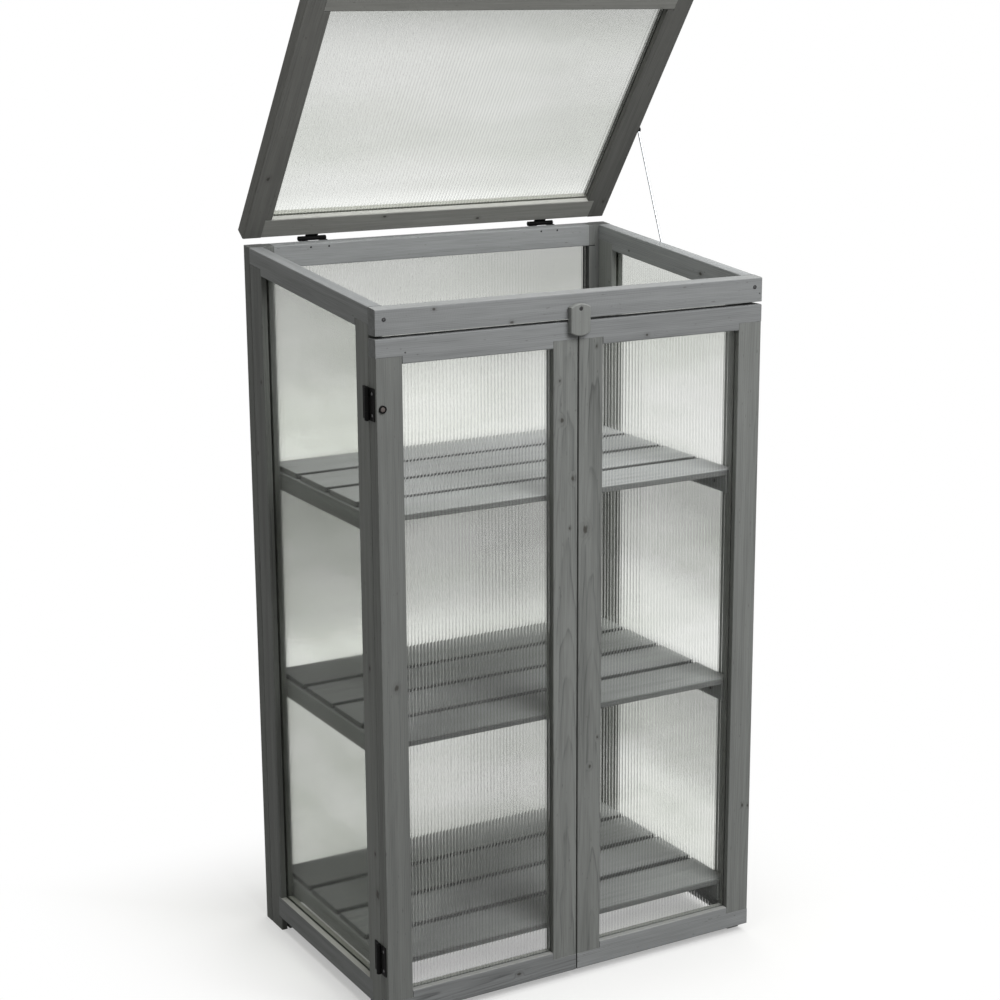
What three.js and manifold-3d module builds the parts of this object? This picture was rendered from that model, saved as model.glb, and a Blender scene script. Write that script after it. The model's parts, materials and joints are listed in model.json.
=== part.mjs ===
// A wooden mini greenhouse: a slatted three-tier stand with glazed sides and back,
// a pair of glazed doors in front and a glazed lid that is propped open by a stay.
//
// Millimetres, +Z up. The origin is on the floor, in the middle of the carcass.
// The front, with the doors, faces -Y, and the lid's hinges are at the back, at +Y.
// The part is modelled as it is most often seen: doors shut and lid propped open.

import * as THREE from 'three';
import { mergeVertices } from 'three/addons/utils/BufferGeometryUtils.js';
import Module from 'manifold-3d';

const wasm = await Module();
wasm.setup();

// The whole carcass
const width = 700;
const depth = 490;
const rearHeight = 1199;
const frontHeight = 1155;

// Planed boards that every frame is made of, and the groove that holds a pane
const board = 24;
const stileWidth = 44;
const railWidth = 38;
const arris = 1.8;
const grooveDepth = 12;
const paneThickness = 4;
const paneSideGap = 0.3;
const paneEdgeGap = 2;

// Clearances
const fit = 0.3;
const overrun = 5;

// Side and rear frames
const lowRailBottom = 22;
const tenonReach = 6;
const tenonThickness = 8;
const tenonHeight = 16;

// Front rail above the doors
const frontRailHeight = 39.5;

// Shelves: four slats on two bearers a tier, given by the height of each tier's top
const shelfTops = [99, 467, 833];
const slatThickness = 9;
const slatGap = 11;
const slatCount = 4;
const slatEndGap = 5;
const slatRearGap = 1;
const slatArris = 1.2;
const bearerHeight = 30;
const bearerWidth = 22;
const bearerInset = 1;

// Doors
const doorRailWidth = 40;
const doorFloorGap = 15;
const doorTopGap = 4.5;
const doorMeetingGap = 2.5;

// Turn button that holds the doors shut
const buttonWidth = 36;
const buttonHeight = 51;
const buttonThickness = 11;
const buttonCrown = 5;
const buttonChamfer = 1.6;
const buttonPivotDrop = 8;
const buttonTopDrop = 15;
const buttonOffset = -2;

// Hinges: pressed leaves rolled round a pin
const hingeLength = 50;
const leafWidth = 19;
const leafSheet = 1.5;
const knuckleRadius = 4;
const pinRadius = 1.6;
const pinClearance = 0.3;
const knuckleRunGap = 0.6;
const middleKnuckle = 22.4;
const upperHingeDrop = 74;
const lowerHingeRise = 72;
const lidHingeInset = 127.5;

// Lid
const lidFrontOverhang = 4;
const lidClearance = 0.5;
const lidOpening = THREE.MathUtils.degToRad(58.7);
const lidPinBehind = 9;
const lidPinAbove = 3;

// Stay that props the lid
const stayRadius = 2;
const stayStandOff = 4;
const stayFootRadius = 5;
const stayFootAhead = 194;
const stayFootDrop = 18.6;
const stayGrip = 195;
const stayGripDepth = 7;

// Facet counts
const arrisSteps = 2;
const roundSteps = 16;
const boreSteps = 12;
const crownSteps = 10;

// Worked out from the sizes above
const roofTan = (rearHeight - frontHeight) / depth;
const roofAngle = Math.atan(roofTan);
const roofCos = Math.cos(roofAngle);
const roofSin = Math.sin(roofAngle);
const halfWidth = width / 2;
const front = -depth / 2;
const rear = depth / 2;
const sideFront = front + board + fit;
const sideRear = rear - board - fit;
const grooveWidth = paneThickness + 2 * paneSideGap;
const paneInset = grooveDepth - paneEdgeGap;

const roofHeightAt = (y) => frontHeight + (y - front) * roofTan;

// Finishes
const wood = (name, colour) => {
  const material = new THREE.MeshStandardMaterial({ color: colour, roughness: 0.72, metalness: 0 });
  material.name = name;
  return material;
};
const finishes = {
  frame: () => wood('grey_stained_wood', 0x7c7f80),
  slat: () => wood('grey_stained_slat', 0x6f7274),
  pane: () => new THREE.MeshStandardMaterial({
    color: 0xdfe4dc, roughness: 0.25, metalness: 0, transparent: true, opacity: 0.45,
  }),
  black: () => new THREE.MeshStandardMaterial({ color: 0x141414, roughness: 0.5, metalness: 0.6 }),
  zinc: () => new THREE.MeshStandardMaterial({ color: 0xc9ccd0, roughness: 0.25, metalness: 1 }),
};

// Solids that are joined and cut
function toSolid(geometry) {
  const bare = geometry.clone();
  bare.deleteAttribute('normal');
  bare.deleteAttribute('uv');
  const merged = mergeVertices(bare);
  return new wasm.Manifold(new wasm.Mesh({
    numProp: 3,
    vertProperties: new Float32Array(merged.attributes.position.array),
    triVerts: new Uint32Array(merged.index.array),
  }));
}

function toGeometry(solid) {
  const mesh = solid.getMesh();
  const geometry = new THREE.BufferGeometry();
  geometry.setAttribute('position', new THREE.BufferAttribute(mesh.vertProperties, 3));
  geometry.setIndex(new THREE.BufferAttribute(mesh.triVerts, 1));
  geometry.computeVertexNormals();
  return geometry;
}

// A box between two opposite corners
function boxBetween(low, high) {
  const size = high.map((value, i) => value - low[i]);
  const box = new THREE.BoxGeometry(...size);
  box.translate(...low.map((value, i) => value + size[i] / 2));
  return box;
}

function cylinderAlongZ(radius, from, to, steps) {
  const cylinder = new THREE.CylinderGeometry(radius, radius, to - from, steps);
  cylinder.rotateX(Math.PI / 2);
  cylinder.translate(0, 0, (from + to) / 2);
  return cylinder;
}

// A closed outline whose corners [x, y, rounding] are turned by small arcs
function roundedOutline(corners) {
  const shape = new THREE.Shape();
  corners.forEach(([x, y, rounding], i) => {
    const corner = new THREE.Vector2(x, y);
    if (rounding === 0) {
      if (i === 0) shape.moveTo(x, y);
      else shape.lineTo(x, y);
      return;
    }
    const [lastX, lastY] = corners[(i + corners.length - 1) % corners.length];
    const [nextX, nextY] = corners[(i + 1) % corners.length];
    const before = new THREE.Vector2(lastX, lastY).sub(corner).setLength(rounding).add(corner);
    const after = new THREE.Vector2(nextX, nextY).sub(corner).setLength(rounding).add(corner);
    if (i === 0) shape.moveTo(before.x, before.y);
    else shape.lineTo(before.x, before.y);
    shape.quadraticCurveTo(x, y, after.x, after.y);
  });
  shape.closePath();
  return shape;
}

// The section of a bar: its outer edge at 0, its inner edge at its breadth, grooved if it holds
// a pane. The outer edge can be planed to a slope.
function barSection({ breadth, thickness, grooved, edgeSlope, rounding }) {
  const half = thickness / 2;
  const lift = half * edgeSlope;
  const groove = grooveWidth / 2;
  const bottom = breadth - grooveDepth;
  const lips = grooved
    ? [[breadth, -groove, 0], [bottom, -groove, 0], [bottom, groove, 0], [breadth, groove, 0]]
    : [];
  return roundedOutline([
    [lift, -half, rounding],
    [breadth, -half, rounding],
    ...lips,
    [breadth, half, rounding],
    [-lift, half, rounding],
  ]);
}

// A bar of wood in its own frame: its length along +X, its outer edge at y = 0 with the breadth
// along +Y, and its thickness centred on Z. A notch [from, to] takes both lips of the groove away.
// The ends can be cut on a slant across the breadth, or on a bevel across the thickness.
function bar({
  length, breadth, thickness = board, grooved = true, notches = [], edgeSlope = 0,
  startSlant = 0, endSlant = 0, endBevel = 0, rounding = arris,
}) {
  const section = barSection({ breadth, thickness, grooved, edgeSlope, rounding });
  let geometry = new THREE.ExtrudeGeometry(section, {
    depth: length, bevelEnabled: false, curveSegments: arrisSteps,
  });
  geometry.applyMatrix4(new THREE.Matrix4().makeBasis(
    new THREE.Vector3(0, 1, 0), new THREE.Vector3(0, 0, 1), new THREE.Vector3(1, 0, 0),
  ));
  if (notches.length > 0) {
    let solid = toSolid(geometry);
    for (const [from, to] of notches) {
      solid = solid.subtract(toSolid(boxBetween(
        [from, breadth - grooveDepth, -thickness], [to, breadth + overrun, thickness],
      )));
    }
    geometry = toGeometry(solid);
  }
  const place = geometry.attributes.position;
  for (let i = 0; i < place.count; i += 1) {
    const atEnd = place.getX(i) > length / 2;
    const slant = place.getY(i) * (atEnd ? endSlant : startSlant);
    const bevel = atEnd ? place.getZ(i) * endBevel : 0;
    place.setX(i, place.getX(i) + slant + bevel);
  }
  geometry.computeVertexNormals();
  return geometry;
}

// Directions
const X = new THREE.Vector3(1, 0, 0);
const Y = new THREE.Vector3(0, 1, 0);
const Z = new THREE.Vector3(0, 0, 1);
const back = (axis) => axis.clone().negate();

const greenhouse = new THREE.Group();

function addMesh(parent, name, geometry, material) {
  const mesh = new THREE.Mesh(geometry, material);
  mesh.name = name;
  parent.add(mesh);
  return mesh;
}

// Turns a mesh so that its own X and Y run along the two directions given, at the place given
function lay(mesh, place, along, across) {
  const normal = new THREE.Vector3().crossVectors(along, across);
  mesh.quaternion.setFromRotationMatrix(new THREE.Matrix4().makeBasis(along, across, normal));
  mesh.position.set(...place);
  return mesh;
}

// Side frames: two posts, a sloping top rail over them, a low rail between them and a pane
function makeSideFrame(side, name) {
  const middle = side * (halfWidth - board / 2);
  const length = sideRear - sideFront;
  const seamDrop = (railWidth - grooveDepth + fit) / roofCos;
  const lowRail = [lowRailBottom - fit, lowRailBottom + railWidth + fit];

  const post = (y, slant) => bar({
    length: roofHeightAt(y) - seamDrop, breadth: stileWidth, notches: [lowRail], endSlant: slant,
  });
  lay(
    addMesh(greenhouse, `${name}_front_post`, post(sideFront, roofTan), finishes.frame()),
    [middle, sideFront, 0], Z, Y,
  );
  lay(
    addMesh(greenhouse, `${name}_rear_post`, post(sideRear, -roofTan), finishes.frame()),
    [middle, sideRear, 0], Z, back(Y),
  );

  const topLength = length / roofCos;
  const lapped = (stileWidth + fit) / roofCos;
  const topRail = bar({
    length: topLength,
    breadth: railWidth,
    notches: [[-overrun, lapped], [topLength - lapped, topLength + overrun]],
    startSlant: -roofTan,
    endSlant: -roofTan,
  });
  lay(
    addMesh(greenhouse, `${name}_top_rail`, topRail, finishes.frame()),
    [middle, sideFront, roofHeightAt(sideFront)],
    new THREE.Vector3(0, roofCos, roofSin),
    new THREE.Vector3(0, roofSin, -roofCos),
  );

  const railStart = sideFront + stileWidth - grooveDepth + fit;
  const lowBar = bar({ length: -2 * railStart, breadth: railWidth });
  lay(
    addMesh(greenhouse, `${name}_bottom_rail`, lowBar, finishes.frame()),
    [middle, railStart, lowRailBottom], Y, Z,
  );

  const paneFront = sideFront + stileWidth - paneInset;
  const paneLow = lowRailBottom + railWidth - paneInset;
  const paneDrop = (railWidth - paneInset) / roofCos;
  const outline = roundedOutline([
    [paneFront, paneLow, 0],
    [-paneFront, paneLow, 0],
    [-paneFront, roofHeightAt(-paneFront) - paneDrop, 0],
    [paneFront, roofHeightAt(paneFront) - paneDrop, 0],
  ]);
  const pane = new THREE.ExtrudeGeometry(outline, { depth: paneThickness, bevelEnabled: false });
  pane.translate(0, 0, -paneThickness / 2);
  lay(addMesh(greenhouse, `${name}_pane`, pane, finishes.pane()), [middle, 0, 0], Y, Z);
}

// Rear frame, glued up as one piece, with short tenons inside its joints
function makeRearFrame() {
  const middle = rear - board / 2;
  const top = roofHeightAt(middle);
  const inner = halfWidth - stileWidth;
  const stileGeometry = (side) => bar({
    length: top,
    breadth: stileWidth,
    notches: [
      [lowRailBottom - fit, lowRailBottom + railWidth + fit],
      [top - railWidth - fit, top + overrun],
    ],
    endBevel: -side * roofTan,
  });
  const railLength = 2 * (inner + grooveDepth - fit);
  const railStart = -railLength / 2;
  const topRail = bar({ length: railLength, breadth: railWidth, edgeSlope: roofTan });
  const lowRail = bar({ length: railLength, breadth: railWidth });
  const laid = (geometry, place, along, across) => {
    const mesh = lay(new THREE.Mesh(geometry), place, along, across);
    mesh.updateMatrix();
    return toSolid(geometry.clone().applyMatrix4(mesh.matrix));
  };

  const parts = [
    laid(stileGeometry(-1), [-halfWidth, 0, 0], Z, X),
    laid(stileGeometry(1), [halfWidth, 0, 0], Z, back(X)),
    laid(topRail, [railStart, 0, top], X, back(Z)),
    laid(lowRail, [railStart, 0, lowRailBottom], X, Z),
  ];
  const solidBreadth = railWidth - grooveDepth;
  const tenonHeights = [lowRailBottom + solidBreadth / 2, top - solidBreadth / 2];
  for (const side of [-1, 1]) {
    const joint = side * (inner + grooveDepth);
    for (const height of tenonHeights) {
      parts.push(toSolid(boxBetween(
        [joint - tenonReach, -tenonThickness / 2, height - tenonHeight / 2],
        [joint + tenonReach, tenonThickness / 2, height + tenonHeight / 2],
      )));
    }
  }
  const whole = parts.reduce((joined, part) => joined.add(part));
  addMesh(greenhouse, 'rear_frame', toGeometry(whole), finishes.frame()).position.set(0, middle, 0);

  const paneLow = lowRailBottom + railWidth - paneInset;
  const paneTop = top - railWidth + paneInset;
  const pane = new THREE.BoxGeometry(2 * (inner + paneInset), paneThickness, paneTop - paneLow);
  addMesh(greenhouse, 'rear_pane', pane, finishes.pane()).position.set(0, middle, (paneTop + paneLow) / 2);
}

// Rail across the front, above the doors, planed to the roof's slope on top
function makeFrontRail() {
  const middle = front + board / 2;
  const top = roofHeightAt(middle);
  const rail = bar({
    length: width, breadth: top - frontHeight + frontRailHeight, grooved: false, edgeSlope: roofTan,
  });
  lay(addMesh(greenhouse, 'front_rail', rail, finishes.frame()), [-halfWidth, middle, top], X, back(Z));
}

// One tier: a bearer on each side and the slats across them
function makeShelf(top, name) {
  const bearerTop = top - slatThickness - fit;
  const bearerFront = sideFront + bearerInset;
  const bearerLength = sideRear - fit - bearerFront;
  const bearer = () => bar({
    length: bearerLength, breadth: bearerWidth, thickness: bearerHeight, grooved: false,
  });
  const inside = halfWidth - board - fit;
  const slatWidth = (bearerLength - slatRearGap - (slatCount - 1) * slatGap) / slatCount;
  lay(
    addMesh(greenhouse, `${name}_bearer_left`, bearer(), finishes.frame()),
    [-inside, bearerFront, bearerTop - bearerHeight / 2], Y, X,
  );
  lay(
    addMesh(greenhouse, `${name}_bearer_right`, bearer(), finishes.frame()),
    [inside, bearerFront, bearerTop - bearerHeight / 2], Y, back(X),
  );
  const slatLength = 2 * (halfWidth - board - slatEndGap);
  for (let i = 0; i < slatCount; i += 1) {
    const slat = bar({
      length: slatLength, breadth: slatWidth, thickness: slatThickness, grooved: false, rounding: slatArris,
    });
    const place = bearerFront + i * (slatWidth + slatGap);
    lay(
      addMesh(greenhouse, `${name}_slat_${i + 1}`, slat, finishes.slat()),
      [-slatLength / 2, place, top - slatThickness / 2], X, Y,
    );
  }
}

// A hinge leaf in its own frame: the pin along Z, the wood's face at y = -woodOffset, and the leaf
// towards +X or -X. Its sheet is rolled into the knuckles between the heights given.
function makeLeaf({ direction, woodOffset, knuckles, holdsPin }) {
  const low = -woodOffset + fit;
  const high = low + leafSheet;
  const half = hingeLength / 2;
  const across = (near, far) => (direction > 0 ? [near, far] : [-far, -near]);
  const [plateFrom, plateTo] = across(knuckleRadius + knuckleRunGap, leafWidth);
  let leaf = toSolid(boxBetween([plateFrom, low, -half], [plateTo, high, half]));
  const [tabFrom, tabTo] = across(knuckleRadius - leafSheet, knuckleRadius + knuckleRunGap + leafSheet);
  for (const [from, to] of knuckles) {
    const web = toSolid(boxBetween([tabFrom, low, from], [tabTo, high, to]));
    const [rollFrom, rollTo] = across(knuckleRadius - leafSheet, knuckleRadius);
    const roll = toSolid(boxBetween([rollFrom, low, from], [rollTo, 0, to]));
    const knuckle = toSolid(cylinderAlongZ(knuckleRadius, from, to, roundSteps));
    leaf = leaf.add(web).add(roll).add(knuckle);
  }
  if (holdsPin) return toGeometry(leaf.add(toSolid(cylinderAlongZ(pinRadius, -half, half, boreSteps))));
  const bore = cylinderAlongZ(pinRadius + pinClearance, -half - overrun, half + overrun, boreSteps);
  return toGeometry(leaf.subtract(toSolid(bore)));
}

const middleHalf = middleKnuckle / 2;
const outerKnuckles = [
  [-hingeLength / 2, -middleHalf - fit],
  [middleHalf + fit, hingeLength / 2],
];
const innerKnuckles = [[-middleHalf, middleHalf]];
const doorPinOffset = knuckleRadius + fit;
const doorTop = frontHeight - frontRailHeight - doorTopGap;
const hingeHeights = {
  upper: doorTop - upperHingeDrop - hingeLength / 2,
  lower: doorFloorGap + lowerHingeRise + hingeLength / 2,
};

// A door on its hinges, in a group that stands on the hinge line
function makeDoor(side, name) {
  const hinged = new THREE.Group();
  const hingeX = side * (halfWidth + doorPinOffset);
  const seam = front + board;
  hinged.position.set(hingeX, seam, 0);
  greenhouse.add(hinged);

  const outer = -side * doorPinOffset;
  const doorWidth = halfWidth - doorMeetingGap / 2;
  const inward = -side;
  const middle = -board / 2;
  const toInside = side < 0 ? X : back(X);
  const toOutside = back(toInside);
  const seamHeight = doorRailWidth - grooveDepth + fit;
  const stileLength = doorTop - doorFloorGap - 2 * seamHeight;
  const stileBottom = doorFloorGap + seamHeight;

  const stile = () => bar({ length: stileLength, breadth: stileWidth });
  lay(
    addMesh(hinged, `${name}_door_outer_stile`, stile(), finishes.frame()),
    [outer, middle, stileBottom], Z, toInside,
  );
  lay(
    addMesh(hinged, `${name}_door_inner_stile`, stile(), finishes.frame()),
    [outer + inward * doorWidth, middle, stileBottom], Z, toOutside,
  );

  const lapped = stileWidth + fit;
  const rail = () => bar({
    length: doorWidth,
    breadth: doorRailWidth,
    notches: [[-overrun, lapped], [doorWidth - lapped, doorWidth + overrun]],
  });
  lay(
    addMesh(hinged, `${name}_door_top_rail`, rail(), finishes.frame()),
    [outer, middle, doorTop], toInside, back(Z),
  );
  lay(
    addMesh(hinged, `${name}_door_bottom_rail`, rail(), finishes.frame()),
    [outer, middle, doorFloorGap], toInside, Z,
  );

  const paneWidth = doorWidth - 2 * (stileWidth - paneInset);
  const paneLow = doorFloorGap + doorRailWidth - paneInset;
  const paneHigh = doorTop - doorRailWidth + paneInset;
  const pane = new THREE.BoxGeometry(paneWidth, paneThickness, paneHigh - paneLow);
  addMesh(hinged, `${name}_door_pane`, pane, finishes.pane())
    .position.set(outer + inward * (doorWidth / 2), middle, (paneHigh + paneLow) / 2);

  for (const [level, height] of Object.entries(hingeHeights)) {
    const fixed = makeLeaf({
      direction: 1, woodOffset: doorPinOffset, knuckles: outerKnuckles, holdsPin: true,
    });
    lay(
      addMesh(greenhouse, `${name}_${level}_hinge_post_leaf`, fixed, finishes.black()),
      [hingeX, seam, height], Y, side < 0 ? back(X) : X,
    );
    const moving = makeLeaf({
      direction: -1, woodOffset: doorPinOffset, knuckles: innerKnuckles, holdsPin: false,
    });
    lay(
      addMesh(hinged, `${name}_${level}_hinge_door_leaf`, moving, finishes.black()),
      [0, 0, height], Y, side < 0 ? back(X) : X,
    );
  }
}

// Turn button with crowned ends, on a screw through the front rail
function makeTurnButton() {
  const half = buttonWidth / 2 - buttonChamfer;
  const crown = buttonCrown;
  const crownRadius = (half * half + crown * crown) / (2 * crown);
  const spread = Math.asin(half / crownRadius);
  const top = buttonPivotDrop - buttonChamfer;
  const bottom = buttonPivotDrop - buttonHeight + buttonChamfer;
  const shape = new THREE.Shape();
  shape.absarc(0, top - crownRadius, crownRadius, Math.PI / 2 - spread, Math.PI / 2 + spread, false);
  shape.absarc(0, bottom + crownRadius, crownRadius, -Math.PI / 2 - spread, -Math.PI / 2 + spread, false);
  shape.closePath();
  const button = new THREE.ExtrudeGeometry(shape, {
    depth: buttonThickness - 2 * buttonChamfer,
    bevelEnabled: true,
    bevelThickness: buttonChamfer,
    bevelSize: buttonChamfer,
    bevelSegments: 1,
    curveSegments: crownSteps,
  });
  button.translate(0, 0, buttonChamfer);
  lay(
    addMesh(greenhouse, 'turn_button', button, finishes.frame()),
    [buttonOffset, front - fit, frontHeight - buttonTopDrop - buttonPivotDrop], X, Z,
  );
}

// Lid, in a group on the hinge line whose own frame is the lid lying level: its rear edge is in
// front of the pin, its length runs to -Y and its underside is a little below the pin.
const pinY = rear + lidPinBehind;
const pinZ = rearHeight + lidPinAbove;
const lidSetBack = lidPinBehind * roofCos + lidPinAbove * roofSin;
const lidUnder = lidClearance + lidPinBehind * roofSin - lidPinAbove * roofCos;
const lidLean = lidOpening - roofAngle;
const lidLength = depth / roofCos + lidFrontOverhang;

function makeLid() {
  const hinged = new THREE.Group();
  hinged.position.set(0, pinY, pinZ);
  hinged.rotation.x = -lidLean;
  greenhouse.add(hinged);

  const middle = lidUnder + board / 2;
  const lidRear = -lidSetBack;
  const lidFront = lidRear - lidLength;
  const lapped = railWidth + fit;
  const stile = () => bar({
    length: lidLength,
    breadth: stileWidth,
    notches: [[-overrun, lapped], [lidLength - lapped, lidLength + overrun]],
  });
  lay(
    addMesh(hinged, 'lid_left_stile', stile(), finishes.frame()),
    [-halfWidth, lidRear, middle], back(Y), X,
  );
  lay(
    addMesh(hinged, 'lid_right_stile', stile(), finishes.frame()),
    [halfWidth, lidRear, middle], back(Y), back(X),
  );

  const railEnd = halfWidth - stileWidth + grooveDepth - fit;
  const rail = () => bar({ length: 2 * railEnd, breadth: railWidth });
  lay(addMesh(hinged, 'lid_rear_rail', rail(), finishes.frame()), [-railEnd, lidRear, middle], X, back(Y));
  lay(addMesh(hinged, 'lid_front_rail', rail(), finishes.frame()), [-railEnd, lidFront, middle], X, Y);

  const paneWidth = width - 2 * (stileWidth - paneInset);
  const paneLength = lidLength - 2 * (railWidth - paneInset);
  const pane = new THREE.BoxGeometry(paneWidth, paneLength, paneThickness);
  addMesh(hinged, 'lid_pane', pane, finishes.pane()).position.set(0, (lidRear + lidFront) / 2, middle);

  for (const [side, name] of [[-1, 'left'], [1, 'right']]) {
    const place = side * (halfWidth - lidHingeInset);
    const fixed = makeLeaf({
      direction: 1, woodOffset: lidPinBehind, knuckles: outerKnuckles, holdsPin: true,
    });
    lay(
      addMesh(greenhouse, `lid_${name}_hinge_frame_leaf`, fixed, finishes.black()),
      [place, pinY, pinZ], back(Z), Y,
    );
    const moving = makeLeaf({
      direction: -1, woodOffset: lidSetBack, knuckles: innerKnuckles, holdsPin: false,
    });
    lay(
      addMesh(hinged, `lid_${name}_hinge_lid_leaf`, moving, finishes.black()),
      [place, 0, 0], back(Z), Y,
    );
  }
}

// Stay outside the right side: an eye on the top rail and a rod whose turned-in end holds the lid
function makeStay() {
  const footY = rear - stayFootAhead;
  const footZ = roofHeightAt(footY) - stayFootDrop;
  const reach = lidSetBack + stayGrip;
  const rise = lidUnder + stayGripDepth;
  const headY = pinY - reach * Math.cos(lidLean) + rise * Math.sin(lidLean);
  const headZ = pinZ + reach * Math.sin(lidLean) + rise * Math.cos(lidLean);
  const length = Math.hypot(headY - footY, headZ - footZ);
  const lean = Math.atan2(headY - footY, headZ - footZ);

  const inner = fit - stayStandOff;
  const alongX = (radius, to, height) => {
    const pin = cylinderAlongZ(radius, inner, to, boreSteps);
    pin.rotateY(Math.PI / 2);
    pin.translate(0, 0, height);
    return toSolid(pin);
  };
  const rod = toSolid(cylinderAlongZ(stayRadius, 0, length, boreSteps));
  const foot = alongX(stayFootRadius, stayRadius, 0);
  const hook = alongX(stayRadius, stayRadius, length - stayRadius);
  const stay = addMesh(greenhouse, 'stay', toGeometry(foot.add(rod).add(hook)), finishes.zinc());
  stay.position.set(halfWidth + stayStandOff, footY, footZ);
  stay.rotation.x = -lean;
}

makeSideFrame(-1, 'left');
makeSideFrame(1, 'right');
makeRearFrame();
makeFrontRail();
shelfTops.forEach((top, i) => makeShelf(top, ['bottom', 'middle', 'top'][i]));
makeDoor(-1, 'left');
makeDoor(1, 'right');
makeTurnButton();
makeLid();
makeStay();

export default greenhouse;
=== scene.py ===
# %% [markdown]
# # A wooden mini greenhouse
#
# The object is a stand of grey stained softwood with three slatted shelves, fluted plastic panes,
# two doors in front and a lid that a thin rod props open. Its boards, hinges and joints come ready
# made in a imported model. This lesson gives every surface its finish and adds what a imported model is
# too coarse for: the flutes of the panes, the screws and the other small metal pieces.
#
# Everything is in metres. The floor is at z = 0, the doors face -Y, and +X is to the right.

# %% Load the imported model
import json
import math
from functools import partial

import bpy
from mathutils import Matrix, Vector


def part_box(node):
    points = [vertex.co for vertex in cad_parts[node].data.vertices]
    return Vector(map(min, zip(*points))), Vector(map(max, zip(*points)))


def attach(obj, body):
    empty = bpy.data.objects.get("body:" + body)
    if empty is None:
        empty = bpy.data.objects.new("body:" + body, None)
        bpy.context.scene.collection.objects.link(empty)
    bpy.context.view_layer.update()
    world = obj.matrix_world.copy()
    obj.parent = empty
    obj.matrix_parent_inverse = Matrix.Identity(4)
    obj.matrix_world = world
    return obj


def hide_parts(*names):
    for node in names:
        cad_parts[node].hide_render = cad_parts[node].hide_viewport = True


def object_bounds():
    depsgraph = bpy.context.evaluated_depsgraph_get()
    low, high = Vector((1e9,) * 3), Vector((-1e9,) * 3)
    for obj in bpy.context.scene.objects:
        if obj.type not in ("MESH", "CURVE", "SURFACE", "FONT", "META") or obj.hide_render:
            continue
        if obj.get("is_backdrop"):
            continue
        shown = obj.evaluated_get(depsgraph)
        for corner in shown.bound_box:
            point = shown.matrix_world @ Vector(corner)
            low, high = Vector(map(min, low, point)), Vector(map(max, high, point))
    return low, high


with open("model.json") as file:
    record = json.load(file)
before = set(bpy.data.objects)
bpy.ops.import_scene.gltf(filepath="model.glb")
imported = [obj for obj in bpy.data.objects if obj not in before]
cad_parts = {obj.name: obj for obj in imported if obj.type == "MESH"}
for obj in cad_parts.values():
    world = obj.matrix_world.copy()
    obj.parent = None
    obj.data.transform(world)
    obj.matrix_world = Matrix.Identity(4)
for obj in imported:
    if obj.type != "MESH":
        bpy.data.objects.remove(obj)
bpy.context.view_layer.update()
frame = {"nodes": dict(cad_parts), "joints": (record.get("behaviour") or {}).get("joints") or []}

# %% [markdown]
# The sizes below are the ones that the greenhouse is drawn from. All other places are worked out
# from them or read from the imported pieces, so a finish can't drift away from its board.

# %% Driving sizes
mm = 0.001
width = 700 * mm
depth = 490 * mm
rear_height = 1199 * mm
front_height = 1155 * mm
board = 24 * mm
stile_width = 44 * mm
rail_width = 38 * mm

joints = {joint["name"]: joint for joint in frame["joints"]}
roof_angle = math.atan((rear_height - front_height) / depth)
lid_opening = -math.radians(joints["lid_hinge"]["range_deg"][0])
lid_lean = lid_opening - roof_angle
lid_frame = Matrix.Translation(joints["lid_hinge"]["pos_m"]) @ Matrix.Rotation(-lid_lean, 4, "X")
print("Lid leans back by", round(math.degrees(lid_lean), 2), "degrees")

# %% [markdown]
# ## Camera
#
# The camera stands where the picture of the object was taken: a little to the left, at the height
# of the lid, and looking down by 14 degrees. The picture was cropped off centre, which the two
# shifts repeat. A matrix built from three plain turns is easier to check than three Euler angles.

# %% Camera at the photograph's angle
bounce_limit = 40
camera_place = Vector((-1.7024, -3.0366, 1.6277))
look_left = math.radians(-31.03)
look_up_from_floor = math.radians(75.86)
roll = math.radians(0.0978)

camera_data = bpy.data.cameras.new("photo_camera")
camera_data.sensor_width = 36
camera_data.lens = 76.51
camera_data.shift_x = -0.0656
camera_data.shift_y = 0.0130
camera = bpy.data.objects.new("photo_camera", camera_data)
bpy.context.scene.collection.objects.link(camera)
camera.location = camera_place
turns = (Matrix.Rotation(look_left, 3, "Z"), Matrix.Rotation(look_up_from_floor, 3, "X"))
camera.rotation_euler = (turns[0] @ turns[1] @ Matrix.Rotation(roll, 3, "Z")).to_euler()
bpy.context.scene.camera = camera
bpy.context.scene.view_settings.view_transform = "Standard"
for limit in ("max_bounces", "transmission_bounces", "transparent_max_bounces"):
    setattr(bpy.context.scene.cycles, limit, bounce_limit)

# %% [markdown]
# ## Small helpers for node trees
#
# Every finish here is built from shader nodes. A few helpers keep that readable: one adds a node and
# fills its inputs, and the others each do one sum, split, mix, blend or noise. They learn from the
# sockets that they are given which tree to work in.

# %% Helpers for nodes
full_white = (1, 1, 1, 1)


def is_socket(value):
    """Whether a value comes out of a node, and isn't a plain number or colour."""
    return isinstance(value, bpy.types.NodeSocket)


def feed(socket, value):
    """Sets an input to a value, or links it when the value is another node's output."""
    if is_socket(value):
        socket.id_data.links.new(value, socket)
    else:
        socket.default_value = value


def add_node(tree, kind, inputs=None, **settings):
    """Adds a shader node with its options and inputs."""
    node = tree.nodes.new("ShaderNode" + kind)
    for name, value in settings.items():
        setattr(node, name, value)
    for name, value in (inputs or {}).items():
        feed(node.inputs[name], value)
    return node


def fed_node(kind, values, places=range(5), **settings):
    """Adds a node to the tree that its values come from, fills its inputs and returns its outputs."""
    tree = next(value.id_data for value in values if is_socket(value))
    return add_node(tree, kind, dict(zip(places, values)), **settings).outputs


def sums(operation, *values):
    """A sum on numbers."""
    return fed_node("Math", values, operation=operation)[0]


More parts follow.
